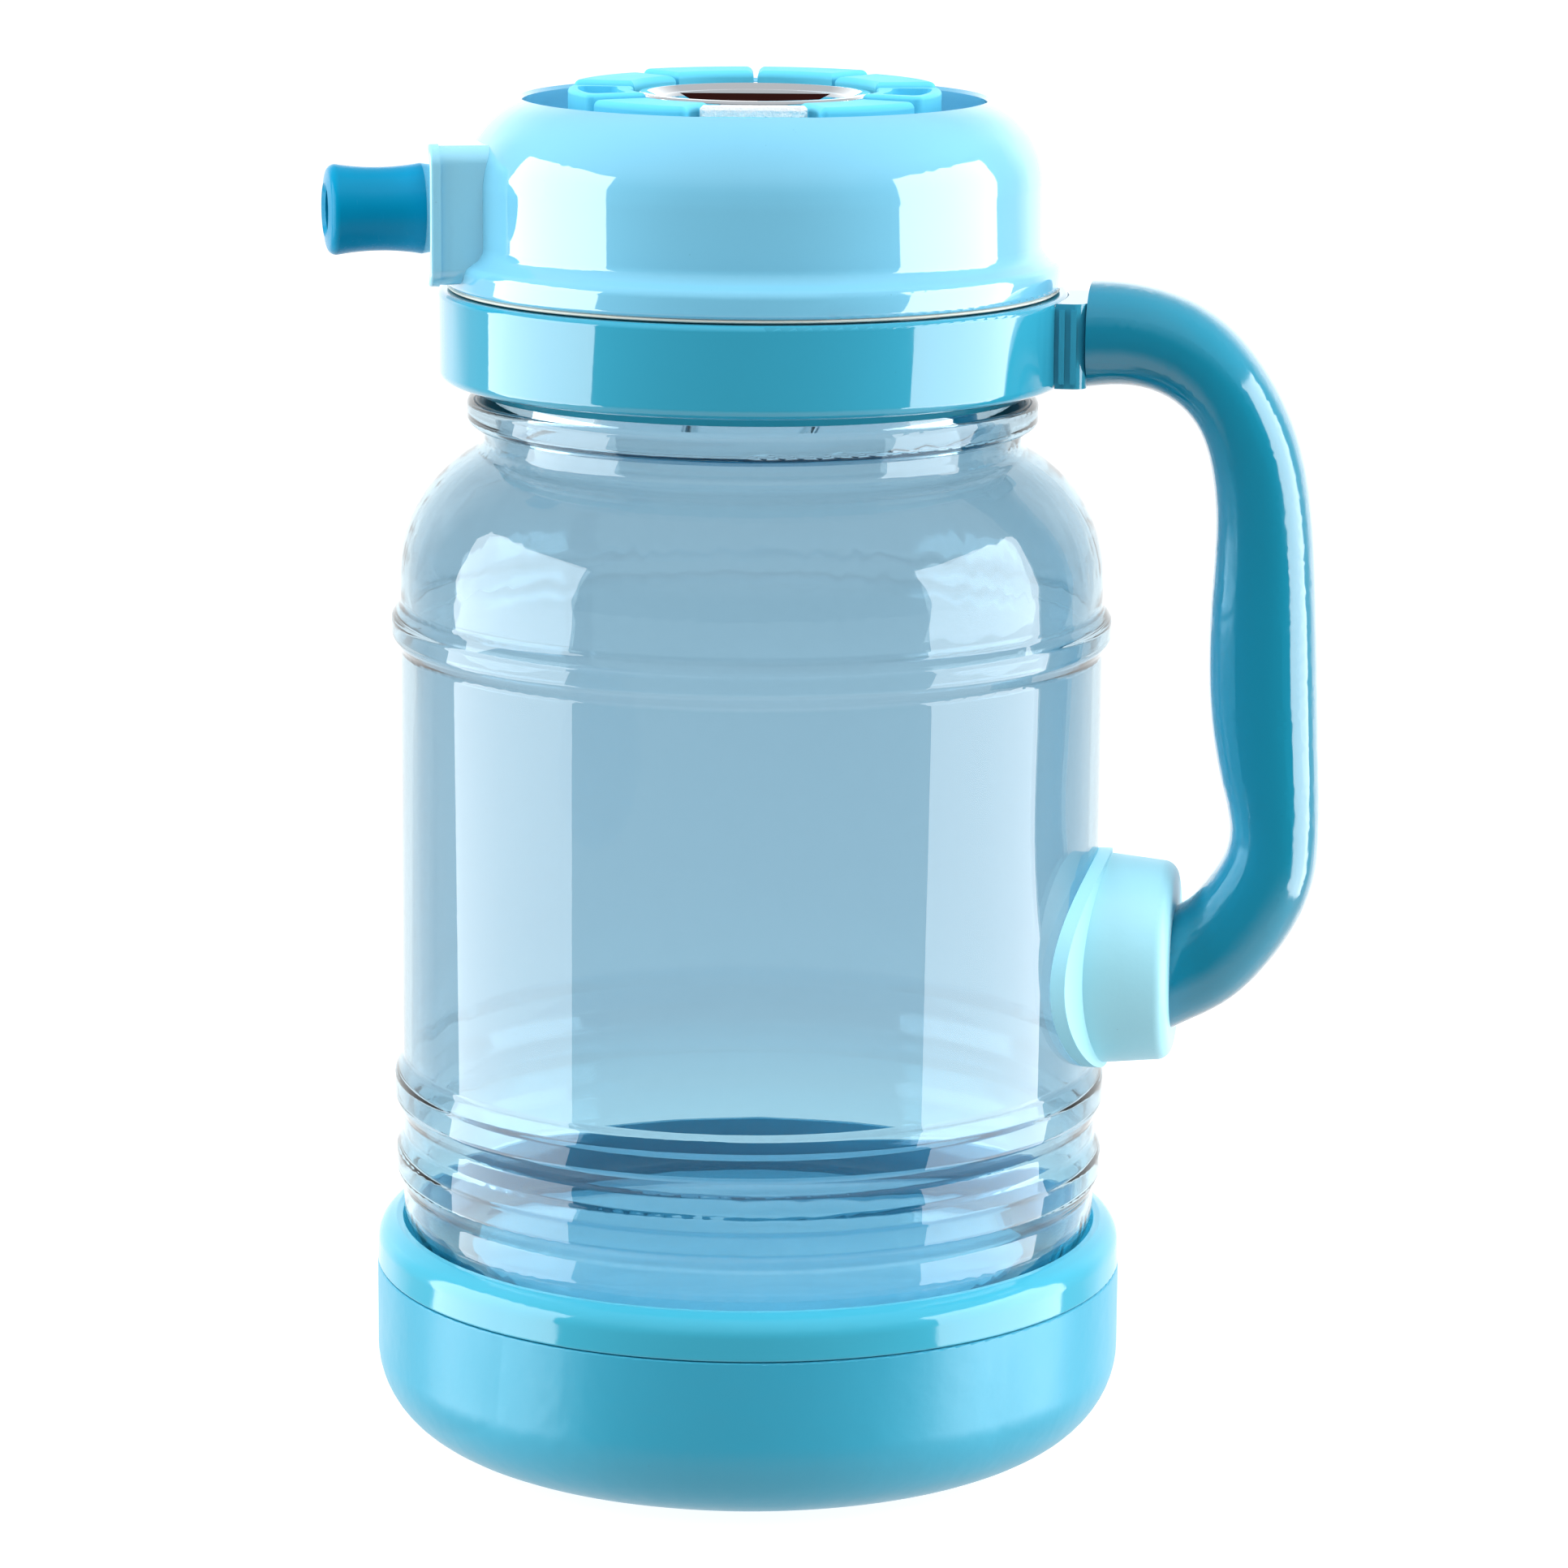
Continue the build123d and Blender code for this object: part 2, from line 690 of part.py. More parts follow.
def button_spring():
    """Return spring in the well, round the stem."""
    bottom = well_floor_z + spring_wire_radius + 0.05
    top = dish_underside_z - 1.25 - spring_wire_radius
    path = Helix((top - bottom) / spring_turns, top - bottom, spring_radius)
    wire = Plane(origin=path @ 0, z_dir=path % 0) * Circle(spring_wire_radius)
    return Pos(0, 0, bottom) * sweep(wire, path=path, is_frenet=True)


os.makedirs("parts", exist_ok=True)
nodes = {
    "jug_body": jug_body(),
    "base_cup": base_cup(),
    "base_trim_ring": base_trim_ring(),
    "base_support_plate": base_support_plate(),
    "foot_pad": foot_pad(),
    "neck_collar": neck_collar(),
    "collar_bracket": collar_bracket(),
    "handle_front_shell": handle_half(-1),
    "handle_rear_shell": handle_half(1),
    "handle_screws": handle_screws(),
    "handle_foot": handle_foot(),
    "handle_saddle": handle_saddle(),
    "lid_dome": lid_dome(),
    "lid_liner": lid_liner(),
    "lid_gasket": lid_gasket(),
    "lid_recess_seat": lid_recess_seat(),
    "valve_chamber": valve_chamber(),
    "spout_housing": spout_housing(),
    "spout_bezel": spout_bezel(),
    "spout_tube": spout_tube(),
    "spout_nozzle": spout_nozzle(),
    "lock_ring": lock_ring(),
    "front_bar": front_bar(),
    "button_dish": button_dish(),
    "button_window": button_window(),
    "valve_stem": valve_stem(),
    "valve_plug": valve_plug(),
    "valve_seal": valve_seal(),
    "button_spring": button_spring(),
}
handle_group = ["collar_bracket", "handle_front_shell", "handle_rear_shell", "handle_screws", "handle_foot",
                "handle_saddle"]
spout_group = ["lid_dome", "valve_chamber", "spout_housing", "spout_bezel", "spout_tube", "spout_nozzle"]
for node in handle_group:
    nodes[node] = Rot(0, 0, -handle_turn_deg) * nodes[node]
for node in spout_group:
    nodes[node] = Rot(0, 0, spout_turn_deg) * nodes[node]
for node, shape in nodes.items():
    export_step(shape, f"parts/{node}.step")
    print(node, round(shape.volume), "mm3")
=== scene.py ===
# %% [markdown]
# # A large clear water jug
# The jug is a clear plastic bottle in a satin base cup, with a gloss handle on its side and a domed
# screw lid with a spout, a ring of petals and a chromed button on top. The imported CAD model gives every
# piece its place and size. This lesson gives each piece its finish, adds the thin trims that are too
# fine for the CAD model, and sets up the studio.

# %% Load the frame
import json
import math

import bmesh
import bpy
from mathutils import Matrix, Vector


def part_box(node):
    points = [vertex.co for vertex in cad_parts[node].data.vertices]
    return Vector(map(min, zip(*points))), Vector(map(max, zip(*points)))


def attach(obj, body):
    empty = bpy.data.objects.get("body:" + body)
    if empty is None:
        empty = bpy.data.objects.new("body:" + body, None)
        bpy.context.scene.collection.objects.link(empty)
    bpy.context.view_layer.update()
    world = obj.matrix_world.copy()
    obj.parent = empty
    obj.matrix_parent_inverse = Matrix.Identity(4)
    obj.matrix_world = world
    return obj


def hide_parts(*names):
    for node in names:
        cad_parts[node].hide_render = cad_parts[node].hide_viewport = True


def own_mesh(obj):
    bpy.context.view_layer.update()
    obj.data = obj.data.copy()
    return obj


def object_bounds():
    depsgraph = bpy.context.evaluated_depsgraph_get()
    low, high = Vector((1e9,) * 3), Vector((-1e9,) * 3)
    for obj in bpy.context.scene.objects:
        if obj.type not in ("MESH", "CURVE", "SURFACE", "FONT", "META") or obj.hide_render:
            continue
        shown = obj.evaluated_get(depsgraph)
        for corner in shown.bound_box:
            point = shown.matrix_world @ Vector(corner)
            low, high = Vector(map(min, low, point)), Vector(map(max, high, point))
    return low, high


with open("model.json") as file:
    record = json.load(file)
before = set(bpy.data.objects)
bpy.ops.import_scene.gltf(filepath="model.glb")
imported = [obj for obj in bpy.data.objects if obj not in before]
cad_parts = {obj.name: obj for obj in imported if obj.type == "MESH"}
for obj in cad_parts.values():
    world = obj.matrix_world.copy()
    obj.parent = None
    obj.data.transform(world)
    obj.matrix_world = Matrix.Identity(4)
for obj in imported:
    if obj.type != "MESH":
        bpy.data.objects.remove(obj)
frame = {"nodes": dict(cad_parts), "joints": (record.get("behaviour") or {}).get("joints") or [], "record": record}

nodes = frame["nodes"]
cad_box = [list(corner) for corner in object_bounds()]
print("nodes:", len(nodes), "box:", [[round(v, 4) for v in corner] for corner in cad_box])

# %% [markdown]
# Moulded gloss plastic shows every facet, so each CAD node is shaded smooth over its round faces and
# sharp over its real corners. Modifiers do this: one joins the loose triangles, the next splits the
# mesh where two faces meet at more than a set angle, and the last lets the large flat faces decide the
# normals at their rims, so that a flat floor stays flat. The vertices stay where the CAD put them.

# %% Smooth the round faces and keep the corners
SHARP_ANGLE = math.radians(32)
WELD_REACH = 0.000004


def smooth_round_faces(node):
    """Joins the node's triangles and shades them smooth up to its sharp corners."""
    mesh = node.data
    mesh.polygons.foreach_set("use_smooth", [True] * len(mesh.polygons))
    if "custom_normal" in mesh.attributes:
        mesh.attributes.remove(mesh.attributes["custom_normal"])
    weld = node.modifiers.new("join triangles", "WELD")
    weld.merge_threshold = WELD_REACH
    split = node.modifiers.new("keep corners", "EDGE_SPLIT")
    split.split_angle = SHARP_ANGLE
    weighted = node.modifiers.new("large faces lead", "WEIGHTED_NORMAL")
    weighted.mode = "FACE_AREA"
    weighted.weight = 50


for node in nodes.values():
    smooth_round_faces(node)
print("smoothed", len(nodes), "nodes; most faces:", max(len(n.data.polygons) for n in nodes.values()))

# %% [markdown]
# Three effects are used by more than one finish, so each is a node group that is built once: the faint
# ripple that a mould leaves on gloss plastic, fine scratches from handling, and a slow drift of the
# colour through thick and thin walls. A small helper makes the group and its sockets.

# %% Helpers for node groups and materials
def new_group(name, inputs, outputs):
    """An empty shader node group with its sockets; returns the tree and its two end nodes."""
    tree = bpy.data.node_groups.new(name, "ShaderNodeTree")
    for label, kind, value in inputs:
        socket = tree.interface.new_socket(label, in_out="INPUT", socket_type=kind)
        socket.default_value = value
    for label, kind in outputs:
        tree.interface.new_socket(label, in_out="OUTPUT", socket_type=kind)
    start = tree.nodes.new("NodeGroupInput")
    end = tree.nodes.new("NodeGroupOutput")
    return tree, start, end


def add(tree, kind, **values):
    """A new node with its properties and unlinked inputs set."""
    node = tree.nodes.new(kind)
    for key, value in values.items():
        if key in node.inputs:
            node.inputs[key].default_value = value
        else:
            setattr(node, key, value)
    return node


def feed(tree, socket, value):
    """Links the value to the socket when it is a socket itself, and otherwise sets it there."""
    if isinstance(value, bpy.types.NodeSocket):
        tree.links.new(value, socket)
    else:
        socket.default_value = value


def math_node(tree, operation, first, second):
    """A Math node; each operand is a socket or a number."""
    node = tree.nodes.new("ShaderNodeMath")
    node.operation = operation
    for socket, value in zip(node.inputs, (first, second)):
        feed(tree, socket, value)
    return node.outputs["Value"]


def map_range(tree, value, source, target):
    """A Map Range node that carries the range source onto the range target."""
    node = tree.nodes.new("ShaderNodeMapRange")
    for label, limit in zip(("From Min", "From Max", "To Min", "To Max"), (*source, *target)):
        node.inputs[label].default_value = limit
    tree.links.new(value, node.inputs["Value"])
    return node.outputs["Result"]


def mix_colour(tree, factor, first, second):
    """A Mix node for colours; each colour is a socket or a fixed value."""
    node = add(tree, "ShaderNodeMix", data_type="RGBA")
    tree.links.new(factor, node.inputs["Factor"])
    feed(tree, node.inputs[6], first)
    feed(tree, node.inputs[7], second)
    return node.outputs[2]


print("helpers ready")

# %% [markdown]
# **Mould ripple.** Gloss plastic follows its polished mould, but cooling leaves a soft waviness a few
# millimetres across and a finer orange peel. Two noise scales added together give a height for a bump.

# %% Mould ripple group
def make_mould_ripple():
    tree, start, end = new_group(
        "Mould ripple",
        [("Wave scale", "NodeSocketFloat", 60.0), ("Peel scale", "NodeSocketFloat", 900.0),
         ("Peel share", "NodeSocketFloat", 0.15)],
        [("Height", "NodeSocketFloat")],
    )
    place = add(tree, "ShaderNodeTexCoord")
    wave = add(tree, "ShaderNodeTexNoise", Detail=1.0, Roughness=0.4)
    peel = add(tree, "ShaderNodeTexNoise", Detail=2.0, Roughness=0.5)
    for noise, scale in ((wave, "Wave scale"), (peel, "Peel scale")):
        tree.links.new(place.outputs["Object"], noise.inputs["Vector"])
        tree.links.new(start.outputs[scale], noise.inputs["Scale"])
    fine = math_node(tree, "MULTIPLY", peel.outputs["Fac"], start.outputs["Peel share"])
    height = math_node(tree, "ADD", wave.outputs["Fac"], fine)
    tree.links.new(height, end.inputs["Height"])
    return tree


mould_ripple = make_mould_ripple()
print("group:", mould_ripple.name)

# %% [markdown]
# **Handling haze.** Hands and wiping leave patches that are a little less glossy, with finer hairline
# streaks in them. The group mixes a clean and a handled roughness by a stretched noise.

# %% Handling haze group
def make_handling_haze():
    tree, start, end = new_group(
        "Handling haze",
        [("Clean", "NodeSocketFloat", 0.05), ("Handled", "NodeSocketFloat", 0.12),
         ("Patch scale", "NodeSocketFloat", 25.0)],
        [("Roughness", "NodeSocketFloat")],
    )
    place = add(tree, "ShaderNodeTexCoord")
    patches = add(tree, "ShaderNodeTexNoise", Detail=4.0, Roughness=0.6)
    tree.links.new(place.outputs["Object"], patches.inputs["Vector"])
    tree.links.new(start.outputs["Patch scale"], patches.inputs["Scale"])
    stretch = add(tree, "ShaderNodeMapping")
    stretch.inputs["Scale"].default_value = (1.0, 1.0, 0.06)
    stretch.inputs["Rotation"].default_value = (0.3, 0.5, 0.0)
    tree.links.new(place.outputs["Object"], stretch.inputs["Vector"])
    hairs = add(tree, "ShaderNodeTexNoise", Scale=1400.0, Detail=1.0)
    tree.links.new(stretch.outputs["Vector"], hairs.inputs["Vector"])
    streaks = map_range(tree, hairs.outputs["Fac"], (0.62, 0.75), (0.0, 0.35))
    soft = map_range(tree, patches.outputs["Fac"], (0.4, 0.7), (0.0, 1.0))
    mask = math_node(tree, "ADD", soft, streaks)
    blend = add(tree, "ShaderNodeMix", data_type="FLOAT")
    tree.links.new(mask, blend.inputs["Factor"])
    tree.links.new(start.outputs["Clean"], blend.inputs["A"])
    tree.links.new(start.outputs["Handled"], blend.inputs["B"])
    tree.links.new(blend.outputs["Result"], end.inputs["Roughness"])
    return tree


handling_haze = make_handling_haze()
print("group:", handling_haze.name)

# %% [markdown]
# **Colour drift.** Pigment is never perfectly even in a moulded part: it clouds slowly, and a few tiny
# specks show. The group mixes two close colours by a slow noise and darkens rare specks.

# %% Colour drift group
def make_colour_drift():
    tree, start, end = new_group(
        "Colour drift",
        [("Main", "NodeSocketColor", (0.2, 0.5, 0.6, 1)), ("Other", "NodeSocketColor", (0.2, 0.5, 0.6, 1)),
         ("Cloud scale", "NodeSocketFloat", 14.0), ("Speck", "NodeSocketColor", (0.1, 0.3, 0.4, 1))],
        [("Color", "NodeSocketColor")],
    )
    place = add(tree, "ShaderNodeTexCoord")
    cloud = add(tree, "ShaderNodeTexNoise", Detail=3.0, Roughness=0.5)
    tree.links.new(place.outputs["Object"], cloud.inputs["Vector"])
    tree.links.new(start.outputs["Cloud scale"], cloud.inputs["Scale"])
    clouded = mix_colour(tree, cloud.outputs["Fac"], start.outputs["Main"], start.outputs["Other"])
    cells = add(tree, "ShaderNodeTexVoronoi", Scale=160.0)
    tree.links.new(place.outputs["Object"], cells.inputs["Vector"])
    rare = map_range(tree, cells.outputs["Distance"], (0.02, 0.035), (0.55, 0.0))
    specked = mix_colour(tree, rare, clouded, start.outputs["Speck"])
    tree.links.new(specked, end.inputs["Color"])
    return tree


colour_drift = make_colour_drift()
print("group:", colour_drift.name)

# %% [markdown]
# Every finish on the jug starts the same way: drifting colour, haze in the roughness and ripple in the
# normal, each with its own values. One function places the three groups round a Principled shader, and
# what is the same all over the surface is set on the shader's own sockets.

# %% A finish with the three groups
def srgb(red, green, blue):
    """A display colour, 0 to 255, as the linear colour that shaders work in."""
    shares = [c / 255 for c in (red, green, blue)]
    return tuple(((c + 0.055) / 1.055) ** 2.4 if c > 0.04 else c / 12.92 for c in shares) + (1.0,)


def tint(colour, factor):
    """The colour, lighter or darker."""
    return tuple(min(1.0, c * factor) for c in colour[:3]) + (1.0,)


def start_finish(name, colours, roughness, bump, bump_depth=0.001, ripple=None, **constants):
    """A material with the groups in place; colours are main, other and speck. Returns the material and
    the colour group's output."""
    material = bpy.data.materials.new(name)
    material.use_nodes = True
    tree = material.node_tree
    shader = tree.nodes["Principled BSDF"]
    for label, value in constants.items():
        shader.inputs[label.replace("_", " ")].default_value = value
    main, other, speck = colours
    pigment = add(tree, "ShaderNodeGroup", node_tree=colour_drift, Main=main, Other=other, Speck=speck)
    tree.links.new(pigment.outputs["Color"], shader.inputs["Base Color"])
    clean, handled = roughness
    haze = add(tree, "ShaderNodeGroup", node_tree=handling_haze, Clean=clean, Handled=handled)
    tree.links.new(haze.outputs["Roughness"], shader.inputs["Roughness"])
    waves = add(tree, "ShaderNodeGroup", node_tree=mould_ripple, **(ripple or {}))
    relief = add(tree, "ShaderNodeBump", Strength=bump, Distance=bump_depth)
    tree.links.new(waves.outputs["Height"], relief.inputs["Height"])
    tree.links.new(relief.outputs["Normal"], shader.inputs["Normal"])
    return material, pigment


print("a finish takes three colours, two roughnesses and a bump")

# %% [markdown]
# **Moulded plastics.** The lid, spout, collar and handle are polished and have a hard clear gloss. The
# base cup and the foot of the handle are satin, from a mould with a fine grain. The petals and the
# nozzle are softer plastics with little shine.

# %% Moulded plastics
FINE_GRAIN = 240.0
HARD_COAT = {"Coat_Weight": 1.0, "Coat_Roughness": 0.02, "Coat_IOR": 1.6}
SATIN_COAT = {"Coat_Weight": 0.15, "Coat_Roughness": 0.25, "Coat_IOR": 1.6}


def moulded_plastic(name, colour, clean, handled, bump, wave_scale=60.0, drift=0.08, **constants):
    """A plastic whose colour drifts either side of the one given."""
    colours = (tint(colour, 1 - drift), tint(colour, 1 + drift), tint(colour, 0.75))
    ripple = {"Wave scale": wave_scale}
    return start_finish(name, colours, (clean, handled), bump, ripple=ripple, **constants)[0]


lid_gloss = moulded_plastic("lid gloss", srgb(120, 196, 226), 0.03, 0.07, 0.02, IOR=1.5, **HARD_COAT)
# Painted light: the spout's housing and bezel take a paler copy of the lid's blue, standing in for the light from
# the left that falls on them.
spout_painted_lighter = moulded_plastic("spout gloss painted lighter", srgb(158, 226, 252), 0.05, 0.1, 0.02, IOR=1.5, **HARD_COAT)
teal_gloss = moulded_plastic(
    "teal gloss", srgb(52, 160, 190), 0.03, 0.08, 0.02, IOR=1.5, Coat_Weight=0.6, Coat_Roughness=0.02
)
handle_gloss = moulded_plastic(
    "handle gloss", srgb(6, 136, 166), 0.10, 0.2, 0.04, IOR=1.5, Coat_Weight=0.8, Coat_Roughness=0.08
)
trim_gloss = moulded_plastic(
    "trim gloss", srgb(66, 176, 204), 0.05, 0.12, 0.04, IOR=1.5, Coat_Weight=0.1, Coat_Roughness=0.02
)
base_satin = moulded_plastic("base satin", srgb(52, 168, 200), 0.34, 0.42, 0.10, FINE_GRAIN, **SATIN_COAT)
boss_satin = moulded_plastic("boss satin", srgb(176, 236, 252), 0.36, 0.44, 0.10, FINE_GRAIN, IOR=1.45)
# Painted light: the plate under the bottle takes a paler blue than the base cup, standing in for the light that
# reaches it through the bottle.
plate_painted_lighter = moulded_plastic("plate blue painted lighter", srgb(150, 222, 242), 0.5, 0.6, 0.10, FINE_GRAIN)
petal_satin = moulded_plastic("petal satin", srgb(98, 204, 234), 0.38, 0.48, 0.05, Specular_IOR_Level=0.08)
nozzle_gloss = moulded_plastic("nozzle gloss", srgb(0, 138, 180), 0.2, 0.3, 0.04, Specular_IOR_Level=0.1)
print("plastics:", [m.name for m in bpy.data.materials])

# %% [markdown]
# ** Clear bottle.** Blow-moulded bottles are a stiff clear plastic, dyed pale blue. Light crosses at
# least four surfaces on its way through, so the colour per surface stays light and the whole adds up
# to a blue grey. The colour deepens where the wall is seen on edge. Round the heel, where the bottle
# sits on its plate, the colour is painted paler: this is painted light that stands in for the light
# reaching the base through the walls. The ripple is longer than on the lid, because the wall is stretched.

# %% Clear bottle plastic
PAINTED_LIGHT_HEEL_TOP, PAINTED_LIGHT_HEEL_FADE_TOP = 0.052, 0.078


def clear_bottle_plastic():
    """The clear plastic, without its way for lamp light."""
    material, pigment = start_finish(
        "clear bottle plastic",
        ((0.46, 0.615, 0.70, 1), (0.485, 0.64, 0.725, 1), (0.42, 0.58, 0.67, 1)),
        (0.0, 0.03), 0.05, ripple={"Wave scale": 22.0, "Peel share": 0.0},
        Transmission_Weight=1.0, Metallic=0.0, IOR=1.46,
    )
    pigment.inputs["Cloud scale"].default_value = 6.0
    tree = material.node_tree
    slant = add(tree, "ShaderNodeLayerWeight", Blend=0.5)
    on_edge = map_range(tree, slant.outputs["Facing"], (0.6, 0.85), (0.0, 1.0))
    deepened = mix_colour(tree, on_edge, pigment.outputs["Color"], (0.20, 0.42, 0.54, 1))
    place = add(tree, "ShaderNodeTexCoord")
    axes = add(tree, "ShaderNodeSeparateXYZ")
    tree.links.new(place.outputs["Object"], axes.inputs["Vector"])
    # Painted light: below this height the bottle's colour is made paler, standing in for light that reaches the
    # base through the walls.
    heel_painted_light = map_range(tree, axes.outputs["Z"], (PAINTED_LIGHT_HEEL_TOP, PAINTED_LIGHT_HEEL_FADE_TOP), (1.0, 0.0))
    heel_lightened = mix_colour(tree, heel_painted_light, deepened, (0.60, 0.84, 0.92, 1))
    tree.links.new(heel_lightened, tree.nodes["Principled BSDF"].inputs["Base Color"])
    return material


bottle_clear = clear_bottle_plastic()
print("clear material:", bottle_clear.name)

# %% [markdown]
# A lamp's light doesn't reach the inside through a clear shader on its own: it would need to bend at
# each wall. Shadow rays are therefore let straight through with a faint tint, so that the lamps light
# the base and the lid's underside through the bottle.

# %% Let lamp light through the bottle
def let_lamps_through(material, colour):
    tree = material.node_tree
    lamp_way = add(tree, "ShaderNodeBsdfTransparent", Color=colour)
    rays = add(tree, "ShaderNodeLightPath")
    either = add(tree, "ShaderNodeMixShader")
    tree.links.new(rays.outputs["Is Shadow Ray"], either.inputs["Fac"])
    tree.links.new(tree.nodes["Principled BSDF"].outputs["BSDF"], either.inputs[1])
    tree.links.new(lamp_way.outputs["BSDF"], either.inputs[2])
    tree.links.new(either.outputs["Shader"], tree.nodes["Material Output"].inputs["Surface"])


let_lamps_through(bottle_clear, (0.88, 0.94, 0.97, 1))
print("lamp light passes:", bottle_clear.name)

# %% [markdown]
# **Metal and rubber.** The button is chrome plated. The bar beside it is frosted: its rough grain
# scatters light, so it is only partly metallic. The window is dark tinted plastic, and the seals and
# the foot pad are rubber.

# %% Metals, window and rubbers
def metal(name, colour, clean, handled, bump, grain_scale, share=1.0):
    """A metal whose bump is a fine grain; share is how metallic it is."""
    grain = {"Wave scale": grain_scale, "Peel scale": 3 * grain_scale, "Peel share": 0.6}
    colours = (tint(colour, 0.96), tint(colour, 1.04), tint(colour, 0.85))
    return start_finish(name, colours, (clean, handled), bump, 0.0005, grain, Metallic=share)[0]


chrome = metal("button chrome", (0.86, 0.88, 0.9, 1), 0.03, 0.08, 0.02, 80.0)
frosted = metal("frosted bar metal", (0.93, 0.97, 0.99, 1), 0.28, 0.4, 0.9, 1500.0, share=0.35)
screw_steel = metal("screw steel", (0.55, 0.56, 0.58, 1), 0.25, 0.4, 0.2, 700.0)
window_dark = moulded_plastic(
    "window tint", srgb(38, 16, 14), 0.2, 0.3, 0.02, drift=0.3, Specular_IOR_Level=0.0
)
seal_rubber = moulded_plastic("seal rubber", srgb(226, 224, 212), 0.5, 0.6, 0.2, 300.0)
foot_rubber = moulded_plastic("foot rubber", srgb(24, 40, 48), 0.6, 0.75, 0.4, 500.0)
print("metals and rubbers:", chrome.name, frosted.name, screw_steel.name, seal_rubber.name, foot_rubber.name)

# %% [markdown]
# Each CAD node takes the finish of its material slot. Four pieces are moulded apart from the others of
# their slot: the spout's two and the plate under the bottle are painted paler, as painted light that
# stands in for the light from the left on the spout and the light through the bottle on the plate,
# and the trim ring is less hard. They take a finish of their own.

# %% Give every node its finish
FINISHES = {
    "clear_plastic": bottle_clear, "base_plastic": base_satin, "teal_gloss": teal_gloss,
    "handle_gloss": handle_gloss, "foot_boss_plastic": boss_satin, "lid_gloss": lid_gloss,
    "petal_plastic": petal_satin, "nozzle_plastic": nozzle_gloss, "chrome_plate": chrome,
    "dark_window": window_dark, "frosted_silver": frosted, "screw_steel": screw_steel,
    "seal_rubber": seal_rubber, "foot_rubber": foot_rubber,
}
OWN_FINISHES = {
    "spout_housing": spout_painted_lighter, "spout_bezel": spout_painted_lighter, "base_trim_ring": trim_gloss,
    "base_support_plate": plate_painted_lighter,
}
for part in frame["record"]["subparts"]:
    mesh = nodes[part["node"]].data
    mesh.materials.clear()
    mesh.materials.append(OWN_FINISHES.get(part["node"], FINISHES[part["material_slot"]]))

# %% [markdown]
# **Lid seal bead.** A thin cream bead shows in the gap under the lid's flange. It is a lathe form, so a
# helper turns a short outline about the jug's axis.

# %% Turned trims
def turned_piece(name, outline, segments=192):
    """A closed ring turned about Z from an outline of (radius, height) points."""
    mesh = bpy.data.meshes.new(name)
    shape = bmesh.new()
    loops = []
    for step in range(segments):
        angle = 2 * math.pi * step / segments
        loops.append([
            shape.verts.new((r * math.cos(angle), r * math.sin(angle), z)) for r, z in outline
        ])
    for step, loop in enumerate(loops):
        following = loops[(step + 1) % segments]
        for i in range(len(outline)):
            j = (i + 1) % len(outline)
            shape.faces.new((loop[i], following[i], following[j], loop[j]))
    bmesh.ops.recalc_face_normals(shape, faces=shape.faces)
    shape.to_mesh(mesh)
    shape.free()
    mesh.polygons.foreach_set("use_smooth", [True] * len(mesh.polygons))
    piece = bpy.data.objects.new(name, mesh)
    bpy.context.scene.collection.objects.link(piece)
    return piece


def round_outline(radius, height, half_width, half_height, points=16):
    """An oval cross-section for a bead."""
    turns = [2 * math.pi * k / points for k in range(points)]
    return [(radius + half_width * math.cos(a), height + half_height * math.sin(a)) for a in turns]


flange_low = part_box("lid_dome")[0].z
flange_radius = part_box("lid_dome")[1].y
seal_bead = turned_piece(
    "lid_seal_bead", round_outline(flange_radius - 0.0016, flange_low - 0.00035, 0.0011, 0.00042)
)
seal_bead.data.materials.append(seal_rubber)
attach(seal_bead, "lid")
print("seal bead radius", round(flange_radius - 0.0016, 4), "height", round(flange_low, 4))

# %% [markdown]
# ** Return spring.** The wire spring stands in the lid's well under the button. Its foot stays where it
# is while its top follows the button down. A copy of the CAD spring rides on the lid in its place, and
# the share of its height that the button's travel would leave is worked out; nothing here squashes it.

# %% Return spring
def spring_that_shortens():
    coil = nodes["button_spring"]
    spring = bpy.data.objects.new("return_spring", coil.data.copy())
    bpy.context.scene.collection.objects.link(spring)
    smooth_round_faces(spring)
    press = next(joint for joint in frame["joints"] if joint["name"] == "button_press")
    low, high = (corner.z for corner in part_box("button_spring"))
    keep = 1 - press["range_m"][1] / (high - low)
    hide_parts("button_spring")
    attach(spring, "lid")
    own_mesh(spring)
    return keep


print("spring keeps", round(spring_that_shortens(), 3), "of its height when the button is down")

# %% [markdown]
# **Studio floor.** A plain pale sweep under and behind the jug. It glows so that it stays an even
# white, and it is kept out of reflections and out of the light on the jug, where the room stands in
# for it.

# %% Floor
floor_mesh = bpy.data.meshes.new("studio_floor")
FLOOR_REACH = 9.0
floor_mesh.from_pydata(
    [(-FLOOR_REACH, -FLOOR_REACH, 0), (FLOOR_REACH, -FLOOR_REACH, 0),
     (FLOOR_REACH, FLOOR_REACH, 0), (-FLOOR_REACH, FLOOR_REACH, 0)],
    [], [(0, 1, 2, 3)],
)
floor = bpy.data.objects.new("studio_floor", floor_mesh)
bpy.context.scene.collection.objects.link(floor)
floor_paint = bpy.data.materials.new("floor paint")
floor_paint.use_nodes = True
floor_shader = floor_paint.node_tree.nodes["Principled BSDF"]
floor_shader.inputs["Base Color"].default_value = (0.25, 0.25, 0.25, 1)
floor_shader.inputs["Roughness"].default_value = 0.9
floor_shader.inputs["Emission Color"].default_value = (1, 1, 1, 1)
floor_shader.inputs["Emission Strength"].default_value = 0.92
floor_mesh.materials.append(floor_paint)
floor.visible_glossy = False
floor.visible_diffuse = False
floor.location.z = cad_box[0][2] - 0.0001
print("floor at", round(floor.location.z, 4))

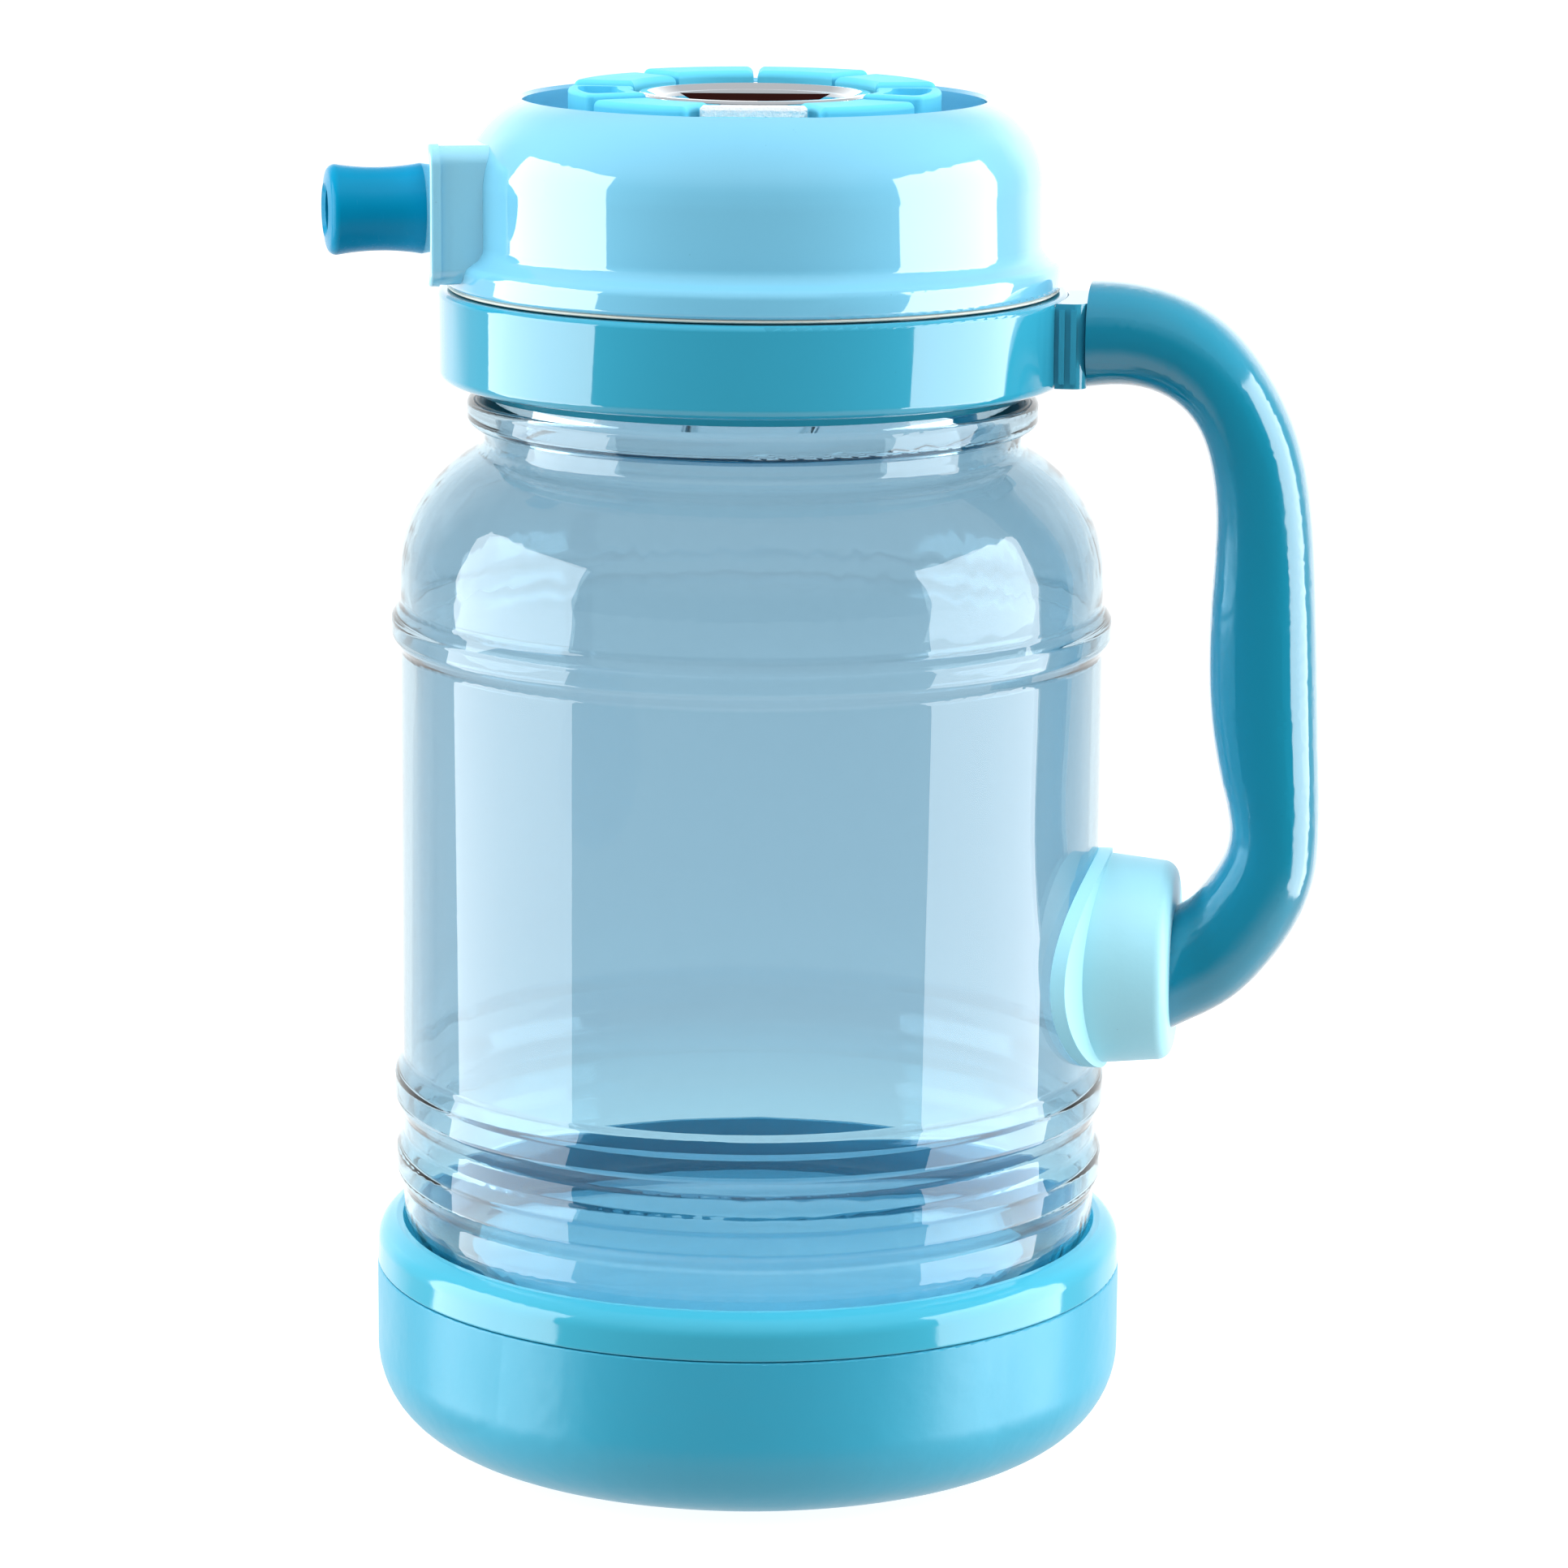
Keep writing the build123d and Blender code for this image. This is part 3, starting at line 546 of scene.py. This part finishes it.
# %% [markdown]
# **Room light.** Polished plastic shows the room it stands in: a dim side in front and a white sweep
# behind and underfoot. The world is a gradient round the jug, which the glossy walls mirror. Its two
# parts are the ring of walls, by direction, and the ceiling and floor, by height.

# %% Room
WALL_STOPS = [(0.0, 0.12), (0.2, 0.16), (0.60, 0.45), (0.79, 0.55), (0.89, 1.4)]
CEILING = (0.54, 0.56, 0.58, 1)
SWEEP = (1.0, 1.0, 1.0, 1)


def room_walls(tree, axes):
    """The walls' colour: from dim in front, at 0, to white behind, at 1."""
    square_x = math_node(tree, "MULTIPLY", axes.outputs["X"], axes.outputs["X"])
    square_y = math_node(tree, "MULTIPLY", axes.outputs["Y"], axes.outputs["Y"])
    level = math_node(tree, "SQRT", math_node(tree, "ADD", square_x, square_y), 0.0)
    facing = math_node(tree, "DIVIDE", axes.outputs["Y"], math_node(tree, "MAXIMUM", level, 0.001))
    behind = math_node(tree, "MULTIPLY_ADD", facing, 0.5)
    behind.node.inputs[2].default_value = 0.5
    ramp = add(tree, "ShaderNodeValToRGB")
    elements = ramp.color_ramp.elements
    elements[0].position, elements[1].position = WALL_STOPS[0][0], WALL_STOPS[-1][0]
    for position, _ in WALL_STOPS[1:-1]:
        elements.new(position)
    for element, (_, value) in zip(elements, WALL_STOPS):
        element.color = (value * 0.96, value * 0.99, value, 1)
    tree.links.new(behind, ramp.inputs["Fac"])
    return ramp.outputs["Color"]


def room_light():
    """The world: the walls, with a grey ceiling above and a white sweep below."""
    world = bpy.data.worlds.new("studio room")
    bpy.context.scene.world = world
    world.use_nodes = True
    tree = world.node_tree
    place = add(tree, "ShaderNodeTexCoord")
    axes = add(tree, "ShaderNodeSeparateXYZ")
    tree.links.new(place.outputs["Generated"], axes.inputs["Vector"])
    overhead = map_range(tree, axes.outputs["Z"], (0.25, 0.6), (0.0, 1.0))
    above = mix_colour(tree, overhead, room_walls(tree, axes), CEILING)
    underfoot = map_range(tree, axes.outputs["Z"], (-0.62, -0.3), (1.0, 0.0))
    all_round = mix_colour(tree, underfoot, above, SWEEP)
    tree.links.new(all_round, tree.nodes["Background"].inputs["Color"])
    tree.nodes["Background"].inputs["Strength"].default_value = 1.0
    return world


print("world:", room_light().name)

# %% [markdown]
# **Soft boxes.** Two tall soft boxes stand at the jug's sides, a little in front, and show as the white
# panels in the gloss. A third lamp high up lights what faces up, and is kept out of the gloss.

# %% Lamps
JUG_MIDDLE = Vector((0.0, 0.0, 0.17))


def soft_box(name, azimuth_deg, distance, height, width, tall, watts):
    """A rectangular lamp that faces the jug. Azimuth 0 is the front, and positive is to the right."""
    turn = math.radians(azimuth_deg)
    lamp = bpy.data.lights.new(name, "AREA")
    lamp.shape = "RECTANGLE"
    lamp.size = width
    lamp.size_y = tall
    lamp.energy = watts
    box = bpy.data.objects.new(name, lamp)
    box.location = (distance * math.sin(turn), -distance * math.cos(turn), height)
    aim = Vector((0, 0, height)) - box.location
    box.rotation_euler = aim.to_track_quat("-Z", "Y").to_euler()
    box.visible_camera = False
    bpy.context.scene.collection.objects.link(box)
    return box


left_box = soft_box("left soft box", -83, 1.05, 0.20, 1.0, 1.25, 19)
right_box = soft_box("right soft box", 83, 1.05, 0.20, 1.0, 1.25, 20)
fill = soft_box("overhead fill", 0, 0.35, 1.5, 1.3, 1.3, 16)
fill.rotation_euler = (JUG_MIDDLE - fill.location).to_track_quat("-Z", "Y").to_euler()
fill.visible_transmission = False
fill.visible_glossy = False
print("lamps:", left_box.name, right_box.name, fill.name)

# %% [markdown]
# **Camera.** A long lens from a little above, far enough back that the walls of the jug stay nearly
# parallel. It leans a fraction of a degree, as a hand-set tripod does.

# %% Camera
ELEVATION = math.radians(11.8)
DISTANCE = 1.29
AIM = Vector((0.0076, 0.0, 0.152))
LENS_MM = 129.4
LEAN = math.radians(0.4)

lens = bpy.data.cameras.new("studio camera")
lens.lens = LENS_MM
lens.sensor_width = 36.0
lens.clip_start = 0.05
camera = bpy.data.objects.new("studio camera", lens)
bpy.context.scene.collection.objects.link(camera)
back = Vector((0, -math.cos(ELEVATION), math.sin(ELEVATION)))
right = Vector((1, 0, 0))
up = back.cross(right)
leaned_up = up * math.cos(LEAN) - right * math.sin(LEAN)
leaned_right = right * math.cos(LEAN) + up * math.sin(LEAN)
place = Matrix((leaned_right, leaned_up, back)).transposed().to_4x4()
place.translation = AIM + back * DISTANCE
camera.matrix_world = place
bpy.context.scene.camera = camera
bpy.context.scene.view_settings.view_transform = "Standard"
print("camera at", [round(v, 3) for v in place.translation])
